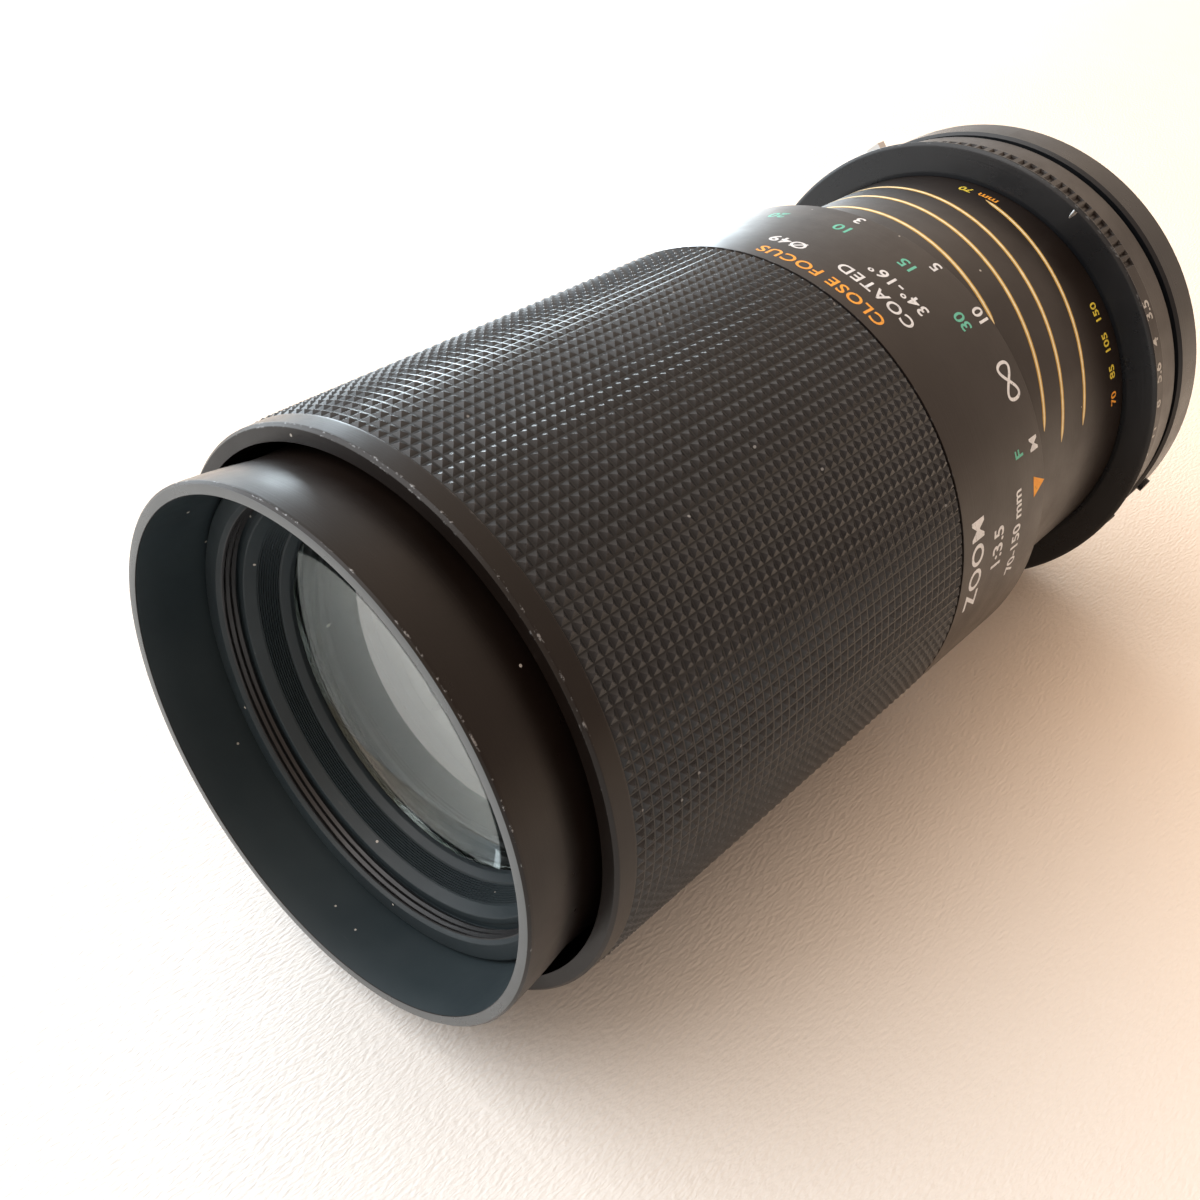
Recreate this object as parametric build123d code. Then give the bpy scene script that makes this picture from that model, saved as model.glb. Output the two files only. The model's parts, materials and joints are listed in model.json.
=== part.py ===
from build123d import *
import os
from math import atan, cos, degrees, hypot, radians, sin, sqrt

# One-touch telephoto zoom lens. Millimetres. The optical axis is Y: the front of the lens faces -Y and
# the mount faces +Y. The origin is the centre of the mount face, and +Z is up with the lens on its side.

# Lengths along the axis, from the mount face forward
mount_ring_length = 5.4
ring_gap = 0.3
aperture_ring_length = 8.7
collar_length = 1.1
exposed_length = 27.9
scale_length = 18.8
rubber_length = 55.0
front_ring_length = 2.6
hood_proud = 8.6
filter_setback = 7.6

# Outside radii: the barrel's, and how far each other part stands out from it
barrel_radius = 28.0
hood_rim_radius = barrel_radius + 1.0
front_ring_radius = barrel_radius + 3.1
rubber_radius = barrel_radius + 3.25
scale_radius = barrel_radius + 3.15
collar_radius = barrel_radius + 4.3
aperture_ring_radius = barrel_radius + 3.6
mount_ring_radius = barrel_radius + 3.5

# Walls and clearances
barrel_wall = 1.4
hood_wall = 0.8
rubber_thickness = 1.0
slide_gap = 0.3
running_gap = 0.05
seat_gap = 0.05

# Travels
zoom_travel = 16.0
focus_forward = 36.0
focus_back = 84.0
focus_lead = 43.2
hood_travel = 15.0
aperture_turn = 54.0
cam_turn = 60.0
variator_travel = 5.0
compensator_travel = 3.0
blade_swing = 37.0

# Filter thread and front glass
filter_radius = barrel_radius - 3.5
filter_length = 1.75
filter_chamfer = 0.35
relief_length = 0.4
relief_depth = 0.25
filter_depth = 2.3
front_glass_radius = filter_radius - 3.0
front_glass_bulge = 2.95
third_bulge = 2.4
spacer_wall = 1.7
trim_ring_length = 4.4
trim_ring_inset = 0.5
trim_ring_steps = 7

# Bayonet
throat_radius = 22.0
throat_bore = 20.0
throat_length = 5.0
lug_radius = 24.0
lug_thickness = 2.0
lug_angle = 52.0
lug_count = 3

# Iris
blade_count = 6
iris_open_radius = 12.6
blade_inner_radius = 12.9
blade_outer_radius = 16.5
blade_pivot_radius = 17.8
blade_drive_angle = 9.0
blade_thickness = 0.08
blade_pitch = 0.14
blade_pin_radius = 0.45
blade_span = 96.0

# Pins, screws and the click stop
pin_radius = 1.0
pin_gap = 0.1
grub_radius = 0.8
grub_depth = 1.4
collar_screw_radius = 0.35
mount_screw_head = 1.3
mount_screw_radius = 0.8
mount_screw_place = mount_ring_radius - 4.8
detent_radius = 0.8
detent_place = barrel_radius + 1.6
detent_stops = 8

# Keys, slots and the lug that turns the focus stop
driver_width = 4.0
driver_height = 1.0
stop_pin_depth = 0.7
stop_pin_angle = 3.0
stop_slot = focus_forward + focus_back + 9.0
key_width = 5.0
key_length = 7.0
key_height = 0.8
arm_width = 6.0
arm_length = 2.4
arm_inner = barrel_radius - 3.4
arm_slot = aperture_turn + 18.0

# Release lever
release_thickness = 1.6
release_inner = mount_ring_radius - 3.0
release_pivot = mount_ring_radius - 1.6
release_setback = 3.1
release_pin = 0.5

# Angles are from +Z towards +X
release_angle = -45.0
button_angle = 114.0
tab_angle = 122.0
lever_angle = 200.0
arm_angle = 180.0
detent_angle = 150.0

# Stations along Y, each worked out from the one behind it
mount_face = 0.0
mount_front = mount_face - mount_ring_length
aperture_rear = mount_front - ring_gap
aperture_front = aperture_rear - aperture_ring_length
collar_rear = aperture_front - ring_gap
collar_front = collar_rear - collar_length
sleeve_rear = collar_front - exposed_length
rubber_rear = sleeve_rear - scale_length
rubber_front = rubber_rear - rubber_length
ring_front = rubber_front - front_ring_length
hood_rim = ring_front - hood_proud
cell_front = hood_rim + filter_setback

focus_back_travel = focus_lead * focus_back / 360
focus_forward_travel = focus_lead * focus_forward / 360

# Radii worked out from the outside in
barrel_bore = barrel_radius - barrel_wall
carriage_radius = barrel_bore - running_gap
carriage_wall = 1.5
carriage_bore = carriage_radius - carriage_wall
helicoid_radius = carriage_bore - slide_gap
cell_wall = 1.4
cell_bore = helicoid_radius - cell_wall
cam_radius = cell_bore - slide_gap
cam_wall = 0.9
cam_bore = cam_radius - cam_wall
guide_radius = cam_bore - running_gap
guide_wall = 1.0
guide_bore = guide_radius - guide_wall
group_radius = guide_bore - running_gap
sleeve_bore = barrel_radius + slide_gap
grip_radius = rubber_radius - rubber_thickness - seat_gap
hood_bore = hood_rim_radius - 2 * hood_wall - 0.2
hood_radius = hood_bore + hood_wall
ring_bore = hood_radius + 1.3
cell_radius = hood_bore - slide_gap
flange_radius = ring_bore - slide_gap

# Stations of the focusing parts
hood_length = hood_travel + filter_setback + 7.2
hood_rear = hood_rim + hood_length
hood_lip_length = 1.4
cell_head_rear = hood_rear - hood_travel - hood_lip_length - 0.2
web_front = hood_rear + 0.7
web_length = 3.0
web_rear = web_front + web_length
helicoid_length = 18.0
helicoid_rear = web_rear + helicoid_length

carriage_front = web_rear + focus_back_travel + 0.5
nut_length = 1.2
stop_ring_front = carriage_front + nut_length + 0.2
stop_ring_length = 3.5
stop_ring_rear = stop_ring_front + stop_ring_length
carriage_flange_front = stop_ring_rear + 0.2
carriage_flange_length = 1.2
carriage_flange_rear = carriage_flange_front + carriage_flange_length
barrel_front = carriage_flange_rear + zoom_travel + 0.5
guide_flange_length = 2.0
guide_flange_front = collar_front - 8.7
guide_flange_rear = guide_flange_front + guide_flange_length
carriage_rear = guide_flange_front - zoom_travel - 0.5
guide_front = web_front + 34.0
cam_front = guide_front + 1.0
cam_rear = guide_flange_front - 1.6
stop_ring_radius = barrel_radius
carriage_flange_radius = stop_ring_radius - 0.4
nut_seat = carriage_radius - 0.8
key_seat = carriage_radius - 0.6

# Stations of the moving groups at the present zoom
driver_station = carriage_rear - 2.6
variator_station = guide_front + 7.5
compensator_station = variator_station + 19.0

# Stations behind the guide tube
iris_front = guide_flange_rear + 0.2
base_plate_length = 1.0
blades_front = iris_front + base_plate_length + 0.1
blades_rear = blades_front + blade_count * blade_pitch
drive_ring_front = blades_rear + 0.06
drive_ring_length = 1.2
iris_cover_front = drive_ring_front + drive_ring_length + 0.2
iris_cover_length = 1.2
rear_cell_front = iris_cover_front + iris_cover_length
rear_cell_radius = 17.6
rear_cell_wall = 1.6
rear_cell_rear = mount_face - 1.6
rear_glass_rear = rear_cell_rear - 3.0
rear_glass_radius = rear_cell_radius - rear_cell_wall - seat_gap
lever_ring_radius = throat_bore - 0.15
lever_front = mount_front + 1.6

# Stations of the front glass
brake_front = cell_front + 3.2
brake_length = 1.4
filter_rear = cell_front + filter_chamfer + filter_length
relief_rear = filter_rear + relief_length
trim_front = cell_front + filter_depth
trim_rear = trim_front + trim_ring_length
trim_radius = filter_radius - trim_ring_inset
glass_front = trim_rear - 2.3
glass_seat = front_glass_radius + seat_gap
second_front = glass_front + 8.1
second_rear = second_front + 2.2
spacer_front = second_rear + 2.0
third_front = second_rear + 2.6
spacer_bore = front_glass_radius - spacer_wall
third_rim_front = third_front + third_bulge * (spacer_bore / front_glass_radius) ** 2 - seat_gap
third_rear = third_front + 6.0
group_rear = third_rear - 0.2
lock_length = 2.0

# Other stations and radii that several parts share
grub_station = (web_front + web_rear) / 2
liner_radius = scale_radius - 1.7
sleeve_lip = 0.25
arm_y0 = aperture_front + 3.0
arm_y1 = arm_y0 + arm_length
screw_station = (collar_front + collar_rear) / 2 + 0.1
release_y0 = mount_face - release_setback
release_y1 = release_y0 + release_thickness
cell_half = 5.0
inner_cell_wall = 1.6
inner_glass_radius = group_radius - inner_cell_wall - seat_gap

ON_BASE = (Align.CENTER, Align.CENTER, Align.MIN)


def turned(points, arc=360.0, start=0.0):
    """A ring from (radius, y) points, turned about Y from the start angle."""
    outline = Polyline(*[(0, y, r) for r, y in points], close=True)
    body = revolve(make_face(outline), axis=Axis.Y, revolution_arc=arc)
    return body.rotate(Axis.Y, start)


def tube(r_in, r_out, y0, y1):
    """A plain tube between two stations."""
    return turned([(r_in, y0), (r_out, y0), (r_out, y1), (r_in, y1)])


def sector(r_in, r_out, y0, y1, middle, width):
    """Part of a tube, centred on one angle."""
    ring = [(r_in, y0), (r_out, y0), (r_out, y1), (r_in, y1)]
    return turned(ring, width, middle - width / 2)


def spoke(radius, r0, r1, y, angle):
    """A round pin that points away from the axis."""
    pin = Plane(origin=(0, y, r0), z_dir=(0, 0, 1)) * Cylinder(radius, r1 - r0, align=ON_BASE)
    return pin.rotate(Axis.Y, angle)


def axial(radius, r, y0, y1, angle):
    """A round pin that lies along the axis at radius r."""
    pin = Plane(origin=(0, y0, r), z_dir=(0, 1, 0)) * Cylinder(radius, y1 - y0, align=ON_BASE)
    return pin.rotate(Axis.Y, angle)


def block(width, r0, r1, y0, y1, angle):
    """A key that stands on a radius."""
    box = Pos(0, (y0 + y1) / 2, (r0 + r1) / 2) * Box(width, y1 - y0, r1 - r0)
    return box.rotate(Axis.Y, angle)


def spaced(count, first=0.0):
    return [first + 360 / count * n for n in range(count)]


def united(shapes):
    """The solids kept apart, in one node."""
    return Compound(children=list(shapes))


def surface(radius, y, bulge):
    """The edge of a glass surface from the axis out; a positive bulge leaves the rim further along +Y."""
    if abs(bulge) < 0.01:
        return Line((0, y, 0), (0, y, radius))
    curve = (radius**2 + bulge**2) / (2 * abs(bulge))
    half = curve - sqrt(curve**2 - (radius / 2) ** 2)
    middle = half if bulge > 0 else -half
    return ThreePointArc((0, y, 0), (0, y + middle, radius / 2), (0, y + bulge, radius))


def glass(radius, y0, front_bulge, y1, rear_bulge):
    """A lens element between its two vertices, with a ground rim."""
    front = surface(radius, y0, front_bulge)
    rear = surface(radius, y1, rear_bulge)
    rim = Line((0, y0 + front_bulge, radius), (0, y1 + rear_bulge, radius))
    core = Line((0, y0, 0), (0, y1, 0))
    return revolve(make_face([front, rim, rear, core]), axis=Axis.Y)


def helical_slot(r_in, r_out, y, travel, turn, angle):
    """The space that a radial pin sweeps as it moves along the axis while its tube turns."""
    mean = (r_in + r_out) / 2
    per_turn = mean * radians(abs(turn)) / abs(travel)
    reach = pin_radius + pin_gap
    width = degrees(2 * reach * sqrt(1 + per_turn**2) / mean)
    length = abs(travel) + 2 * reach
    y0 = min(y, y + travel) - reach
    twist = turn * length / travel
    start = angle - twist * (y - y0) / length
    outer = r_out + 1
    inner = r_in - 1
    low = radians(-width / 2)
    high = radians(width / 2)
    edge = [
        CenterArc((0, 0), outer, 90 - width / 2, width),
        CenterArc((0, 0), inner, 90 - width / 2, width),
        Line((outer * sin(low), outer * cos(low)), (inner * sin(low), inner * cos(low))),
        Line((outer * sin(high), outer * cos(high)), (inner * sin(high), inner * cos(high))),
    ]
    flat = Plane(origin=(0, y0, 0), x_dir=(1, 0, 0), z_dir=(0, -1, 0))
    section = (flat * make_face(edge)).face()
    bar = Solid.extrude_linear_with_rotation(section, (0, y0, 0), (0, length, 0), twist)
    return bar.rotate(Axis.Y, start)


# Hood

def hood_tube():
    rim_face = 0.5
    flare = 7.0
    body = turned([
        (hood_rim_radius - 1.3, hood_rim),
        (hood_rim_radius - 0.25, hood_rim),
        (hood_rim_radius, hood_rim + 0.25),
        (hood_rim_radius, hood_rim + rim_face),
        (hood_rim_radius - 0.12, hood_rim + 2.2),
        (hood_rim_radius - 0.4, hood_rim + 4.6),
        (hood_radius, hood_rim + flare + 1.6),
        (hood_radius, hood_rear),
        (cell_radius - 0.45, hood_rear),
        (cell_radius - 0.45, hood_rear - hood_lip_length),
        (hood_bore, hood_rear - hood_lip_length),
        (hood_bore, hood_rim + flare),
    ])
    return body


def hood_brake_ring():
    """A split spring ring in the head of the front cell that rubs the hood's bore."""
    return sector(cell_radius - 0.75, cell_radius, brake_front, brake_front + brake_length, 0, 345)


# Front cell and its glass

def front_cell():
    groove_front = brake_front - 0.1
    groove_rear = brake_front + brake_length + 0.1
    group_end = group_rear + lock_length + 0.1
    body = turned([
        (filter_radius + filter_chamfer, cell_front),
        (cell_radius - 0.3, cell_front),
        (cell_radius, cell_front + 0.3),
        (cell_radius, groove_front),
        (cell_radius - 0.85, groove_front),
        (cell_radius - 0.85, groove_rear),
        (cell_radius, groove_rear),
        (cell_radius, cell_head_rear),
        (cell_radius - 0.75, cell_head_rear),
        (cell_radius - 0.75, web_front),
        (flange_radius, web_front),
        (flange_radius, web_rear),
        (helicoid_radius, web_rear),
        (helicoid_radius, helicoid_rear),
        (cell_bore, helicoid_rear),
        (cell_bore, group_end),
        (glass_seat, group_end),
        (glass_seat, trim_rear + 0.1),
        (trim_radius, trim_rear + 0.1),
        (trim_radius, relief_rear),
        (filter_radius + relief_depth, relief_rear),
        (filter_radius + relief_depth, filter_rear),
        (filter_radius, filter_rear),
        (filter_radius, cell_front + filter_chamfer),
    ])
    floor = flange_radius - grub_depth
    for angle in spaced(3, 60):
        body -= spoke(grub_radius + seat_gap, floor, flange_radius + 1, grub_station, angle)
    return body


def front_trim_ring():
    """The ring that holds the front glass, with a stepped light trap down to the glass."""
    inner = front_glass_radius - 1.1
    outer = filter_radius - 1.3
    rim = trim_radius - seat_gap
    points = [(inner, trim_rear), (rim, trim_rear), (rim, trim_front), (outer, trim_front)]
    drop = (outer - inner) / trim_ring_steps
    depth = (trim_rear - 0.4 - trim_front) / trim_ring_steps
    for n in range(trim_ring_steps):
        points.append((outer - n * drop, trim_front + (n + 1) * depth))
        points.append((outer - (n + 1) * drop, trim_front + (n + 1) * depth))
    return turned(points)


def front_element():
    return glass(front_glass_radius, glass_front, front_glass_bulge, second_front - 0.1, -1.9)


def second_element():
    return glass(front_glass_radius, second_front, -1.9, second_rear, 2.0)


def front_spacer_ring():
    return tube(spacer_bore, front_glass_radius, spacer_front, third_rim_front)


def third_element():
    return glass(front_glass_radius, third_front, third_bulge, third_rear, -0.3)


def front_lock_ring():
    return tube(front_glass_radius - 2.0, front_glass_radius, third_rear - 0.1, group_rear + lock_length)


# Grip sleeve

def grip_core():
    step = web_front - 1.0
    end = sleeve_rear - sleeve_lip - seat_gap
    body = turned([
        (ring_bore, rubber_front),
        (grip_radius, rubber_front),
        (grip_radius, rubber_rear),
        (liner_radius, rubber_rear),
        (liner_radius, end),
        (sleeve_bore, end),
        (sleeve_bore, web_rear + seat_gap),
        (flange_radius + seat_gap, web_rear + seat_gap),
        (flange_radius + seat_gap, step),
        (ring_bore, step),
    ])
    lug_slot_front = stop_ring_front - focus_back_travel - 0.6
    lug_slot_rear = stop_ring_rear + focus_forward_travel + 0.6
    lug_top = stop_ring_radius + driver_height + slide_gap
    body -= block(driver_width + 0.1, sleeve_bore - 1, lug_top, lug_slot_front, lug_slot_rear, 0)
    for angle in spaced(3, 60):
        body -= spoke(grub_radius + seat_gap, flange_radius - 1, grip_radius + 1, grub_station, angle)
    return body


def grip_front_ring():
    edge = 0.35
    return turned([
        (ring_bore, ring_front),
        (front_ring_radius - edge, ring_front),
        (front_ring_radius, ring_front + edge),
        (front_ring_radius, rubber_front),
        (ring_bore, rubber_front),
    ])


def rubber_grip():
    return tube(grip_radius + seat_gap, rubber_radius, rubber_front + 0.02, rubber_rear - 0.02)


def scale_sleeve():
    edge = 0.3
    lip_front = sleeve_rear - sleeve_lip
    return turned([
        (liner_radius + seat_gap, rubber_rear),
        (scale_radius, rubber_rear),
        (scale_radius, sleeve_rear - edge),
        (scale_radius - edge, sleeve_rear),
        (sleeve_bore + seat_gap, sleeve_rear),
        (sleeve_bore + seat_gap, lip_front),
        (liner_radius + seat_gap, lip_front),
    ])


def grip_screws():
    """Three grub screws that pin the grip core to the front cell's flange."""
    r0 = flange_radius - grub_depth + 0.1
    return united(spoke(grub_radius, r0, grip_radius - 0.1, grub_station, a) for a in spaced(3, 60))


# Zoom carriage and focus stop

def carriage_tube():
    body = turned([
        (carriage_bore, carriage_front),
        (nut_seat, carriage_front),
        (nut_seat, stop_ring_front - 0.1),
        (carriage_radius, stop_ring_front - 0.1),
        (carriage_radius, carriage_flange_front),
        (carriage_flange_radius, carriage_flange_front),
        (carriage_flange_radius, carriage_flange_rear),
        (carriage_radius, carriage_flange_rear),
        (carriage_radius, carriage_rear),
        (carriage_bore, carriage_rear),
    ])
    y0 = stop_ring_front + 0.8
    y1 = stop_ring_rear - 0.8
    middle = (focus_forward - focus_back) / 2
    slot_floor = carriage_radius - stop_pin_depth - 0.2
    body -= sector(slot_floor, carriage_radius + 0.5, y0, y1, middle, stop_slot)
    key_front = carriage_rear - key_length
    for angle in (90, 270):
        body -= block(key_width, key_seat, carriage_radius + 1, key_front, carriage_rear + 1, angle)
    body -= spoke(pin_radius + 0.02, carriage_bore - 1, carriage_radius + 1, driver_station, 0)
    return body


def carriage_keys():
    """Two keys that run in the barrel's straight grooves, so the carriage slides and doesn't turn."""
    r0 = key_seat + 0.02
    r1 = barrel_bore + key_height - 0.15
    y0 = carriage_rear - key_length + 0.05
    width = key_width - 0.1
    return united(block(width, r0, r1, y0, carriage_rear, angle) for angle in (90, 270))


def cam_driver_pin():
    return spoke(pin_radius, cam_bore + 0.15, carriage_radius - 0.1, driver_station, 0)


def stop_ring_nut():
    r0 = nut_seat + seat_gap
    return tube(r0, carriage_flange_radius, carriage_front, carriage_front + nut_length)


def focus_stop_ring():
    """Turns with the grip: its lug runs in the grip's groove, and its pin stops the turn."""
    body = tube(carriage_radius + running_gap, stop_ring_radius, stop_ring_front, stop_ring_rear)
    y0 = stop_ring_front + 0.4
    y1 = stop_ring_rear - 0.4
    root = stop_ring_radius - 0.5
    body += block(driver_width, root, stop_ring_radius + driver_height, y0, y1, 0)
    pin_y0 = stop_ring_front + 1.1
    pin_y1 = stop_ring_rear - 1.1
    low = carriage_radius - stop_pin_depth
    body += sector(low, root, pin_y0, pin_y1, 0, stop_pin_angle)
    return body


# Fixed barrel and the tubes inside it

def fixed_barrel():
    body = tube(barrel_bore, barrel_radius, barrel_front, mount_front)
    inner = barrel_bore - 1
    outer = barrel_radius + 1
    top = barrel_bore + key_height
    y0 = carriage_rear - key_length - 0.5
    for angle in (90, 270):
        body -= block(key_width + 0.1, inner, top, y0, guide_flange_front, angle)
    middle = arm_angle + aperture_turn / 2
    body -= sector(inner, outer, arm_y0 - slide_gap, arm_y1 + slide_gap, middle, arm_slot)
    for angle in spaced(3, 30):
        body -= spoke(collar_screw_radius + seat_gap, inner, outer, screw_station, angle)
    return body


def guide_tube():
    """Fixed inside the barrel; its straight slots keep the moving cells from turning."""
    body = turned([
        (guide_bore, guide_front),
        (guide_radius, guide_front),
        (guide_radius, guide_flange_front),
        (barrel_bore - seat_gap, guide_flange_front),
        (barrel_bore - seat_gap, guide_flange_rear),
        (guide_bore, guide_flange_rear),
    ])
    reach = pin_radius + pin_gap
    runs = ((variator_station, variator_travel), (compensator_station, -compensator_travel))
    for angle in spaced(3, 60):
        for y, travel in runs:
            y0 = min(y, y + travel) - reach
            y1 = max(y, y + travel) + reach
            body -= block(2 * reach, guide_bore - 2, guide_radius + 2, y0, y1, angle)
    return body


def cam_tube():
    """Turned by the carriage's pin in its long slot; its short slots move the two inner cells."""
    body = tube(cam_bore, cam_radius, cam_front, cam_rear)
    body -= helical_slot(cam_bore, cam_radius, driver_station, zoom_travel, -cam_turn, 0)
    runs = ((variator_station, variator_travel), (compensator_station, -compensator_travel))
    for angle in spaced(3, 60):
        for y, travel in runs:
            body -= helical_slot(cam_bore, cam_radius, y, travel, -cam_turn, angle)
    return body


def cam_retaining_ring():
    return tube(guide_radius + seat_gap, cam_radius - 0.1, cam_rear + 0.1, guide_flange_front - 0.1)


# Variator and compensator cells

def moving_cell(y):
    """A glass cell that slides in the guide tube, with a seat in the middle."""
    bore = group_radius - inner_cell_wall
    seat = bore - 1.0
    seat_half = 0.8
    body = turned([
        (bore, y - cell_half),
        (group_radius, y - cell_half),
        (group_radius, y + cell_half),
        (bore, y + cell_half),
        (bore, y + seat_half),
        (seat, y + seat_half),
        (seat, y - seat_half),
        (bore, y - seat_half),
    ])
    for angle in spaced(3, 60):
        body -= spoke(pin_radius + 0.02, group_radius - 1.0, group_radius + 1, y, angle)
    return body


def cell_pins(y):
    r0 = group_radius - 0.9
    return united(spoke(pin_radius, r0, cam_radius - 0.1, y, angle) for angle in spaced(3, 60))


def variator_cell():
    return moving_cell(variator_station)


def variator_front_glass():
    rear = variator_station - 0.9
    return glass(inner_glass_radius, rear - 1.7, -0.6, rear - 1.0 + 0.6, 0.3)


def variator_rear_glass():
    front = variator_station + 0.9
    return glass(inner_glass_radius, front + 1.6, -1.5, front + 3.2, 0.4)


def variator_pins():
    return cell_pins(variator_station)


def compensator_cell():
    return moving_cell(compensator_station)


def compensator_glass():
    front = compensator_station + 0.9
    return glass(inner_glass_radius, front - 1.2, 1.3, front + 3.4, -0.8)


def compensator_pins():
    return cell_pins(compensator_station)


# Iris

def swung(x, z, angle):
    """A point of blade 0 turned about its pivot, in the plane of the iris."""
    a = radians(angle)
    dx = x
    dz = z - blade_pivot_radius
    return dx * cos(a) + dz * sin(a), blade_pivot_radius - dx * sin(a) + dz * cos(a)


def drive_pin_place(swing):
    """The drive pin's place when the blade has swung in by this angle."""
    a = radians(-blade_drive_angle)
    return swung(blade_pivot_radius * sin(a), blade_pivot_radius * cos(a), swing)


def iris_blade(n):
    """A thin crescent with a pivot pin towards the front and a drive pin towards the rear."""
    y0 = blades_front + n * blade_pitch
    y1 = y0 + blade_thickness
    body = sector(blade_inner_radius, blade_outer_radius, y0, y1, blade_span / 2 + 1, blade_span)
    lug = 1.0
    drive_x, drive_z = drive_pin_place(0)
    drive_r = hypot(drive_x, drive_z)
    inner = blade_outer_radius - 0.4
    body += sector(inner, blade_pivot_radius, y0, y1, 1.0, 6.0)
    for x, z in ((0, blade_pivot_radius), (drive_x, drive_z)):
        body += Pos(x, (y0 + y1) / 2, z) * Rot(90, 0, 0) * Cylinder(lug, blade_thickness)
    body += sector(drive_r - lug, drive_r + lug, y0, y1, -blade_drive_angle / 2, blade_drive_angle)
    body += axial(blade_pin_radius, blade_pivot_radius, iris_front + 0.1, y1, 0)
    tail = drive_ring_front + drive_ring_length
    body += axial(blade_pin_radius, drive_r, y0, tail - 0.1, -blade_drive_angle)
    return body.rotate(Axis.Y, 360 / blade_count * n)


def iris_base_plate():
    body = tube(iris_open_radius, barrel_bore - seat_gap, iris_front, iris_front + base_plate_length)
    for angle in spaced(blade_count):
        body -= axial(blade_pin_radius + 0.05, blade_pivot_radius, iris_front - 1, blades_front, angle)
    return body


def iris_drive_ring():
    """Its curved slots swing the blades as it turns with the aperture ring."""
    inner = blade_pivot_radius - 2.0
    outer = arm_inner - 2.7
    rear = drive_ring_front + drive_ring_length
    body = tube(inner, outer, drive_ring_front, rear)
    half = blade_pin_radius + 0.2
    steps = 12
    outward = []
    inward = []
    for n in range(-1, steps + 2):
        share = n / steps
        x, z = drive_pin_place(blade_swing * share)
        angle = degrees(atan(x / z)) - aperture_turn * share
        outward.append((hypot(x, z) + half, angle))
        inward.append((hypot(x, z) - half, angle))
    loop = outward + inward[::-1]
    points = [(r * sin(radians(a)), drive_ring_front - 1, r * cos(radians(a))) for r, a in loop]
    cutter = extrude(make_face(Polyline(*points, close=True)), drive_ring_length + 2, dir=(0, 1, 0))
    for angle in spaced(blade_count):
        body -= cutter.rotate(Axis.Y, angle)
    width = degrees(arm_width / barrel_radius)
    return body + sector(outer - 0.7, arm_inner - 0.02, drive_ring_front, rear, arm_angle, width)


def iris_cover():
    return tube(rear_cell_radius + seat_gap, arm_inner - 0.7, iris_cover_front, rear_cell_front)


def aperture_arm():
    """Reaches from the aperture ring through the barrel's slot to the iris drive ring."""
    width = degrees(arm_width / barrel_radius)
    body = sector(arm_inner, barrel_radius + running_gap, arm_y0, arm_y1, arm_angle, width)
    return body + sector(arm_inner, arm_inner + 1.2, drive_ring_front, arm_y0 + 1, arm_angle, width)


# Aperture ring, collar and mount

def collar():
    """The thin flange in front of the aperture ring, with a sloping front face."""
    slope = 0.5
    body = turned([
        (barrel_radius + 0.02, collar_front),
        (barrel_radius + 0.6, collar_front),
        (collar_radius - 0.4, collar_front + slope),
        (collar_radius, collar_front + slope + 0.2),
        (collar_radius, collar_rear - 0.15),
        (collar_radius - 0.2, collar_rear),
        (barrel_radius + 0.02, collar_rear),
    ])
    hole = collar_screw_radius + seat_gap
    for angle in spaced(3, 30):
        body -= spoke(hole, barrel_radius - 1, collar_radius + 1, screw_station, angle)
    return body


def collar_screws():
    r0 = barrel_bore + 0.2
    r1 = collar_radius - 0.5
    return united(spoke(collar_screw_radius, r0, r1, screw_station, a) for a in spaced(3, 30))


def aperture_ring():
    """A grip band in front, a smooth band for the numbers, and a hub that leaves a groove behind."""
    ring_inner = barrel_radius + running_gap
    hub = barrel_radius + 2.5
    edge = 0.3
    band = aperture_front + 3.0
    groove = aperture_rear - 0.9
    body = turned([
        (ring_inner, aperture_front),
        (aperture_ring_radius - edge, aperture_front),
        (aperture_ring_radius, aperture_front + edge),
        (aperture_ring_radius, band),
        (aperture_ring_radius - 0.25, band + edge),
        (aperture_ring_radius - 0.4, groove - edge),
        (aperture_ring_radius - 0.7, groove),
        (hub, groove),
        (hub, aperture_rear),
        (ring_inner, aperture_rear),
    ])
    tab_front = band + 1.4
    body += sector(hub, aperture_ring_radius + 0.7, tab_front, tab_front + 2.2, tab_angle, 3.5)
    for n in range(detent_stops):
        angle = detent_angle - aperture_turn / (detent_stops - 1) * n
        body -= axial(detent_radius, detent_place, aperture_rear - 0.3, aperture_rear + 0.5, angle)
    return body


def detent_ball():
    y = mount_front + detent_radius - 0.2
    return (Pos(0, y, detent_place) * Sphere(detent_radius)).rotate(Axis.Y, detent_angle)


def detent_spring():
    """A small coil behind the detent ball, drawn as the tube that it fills."""
    y0 = mount_front + 2 * detent_radius - 0.15
    return axial(detent_radius - 0.2, detent_place, y0, mount_front + 2.9, detent_angle)


def detent_hole():
    return axial(detent_radius + seat_gap, detent_place, mount_front - 1, mount_front + 3.0, detent_angle)


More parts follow.
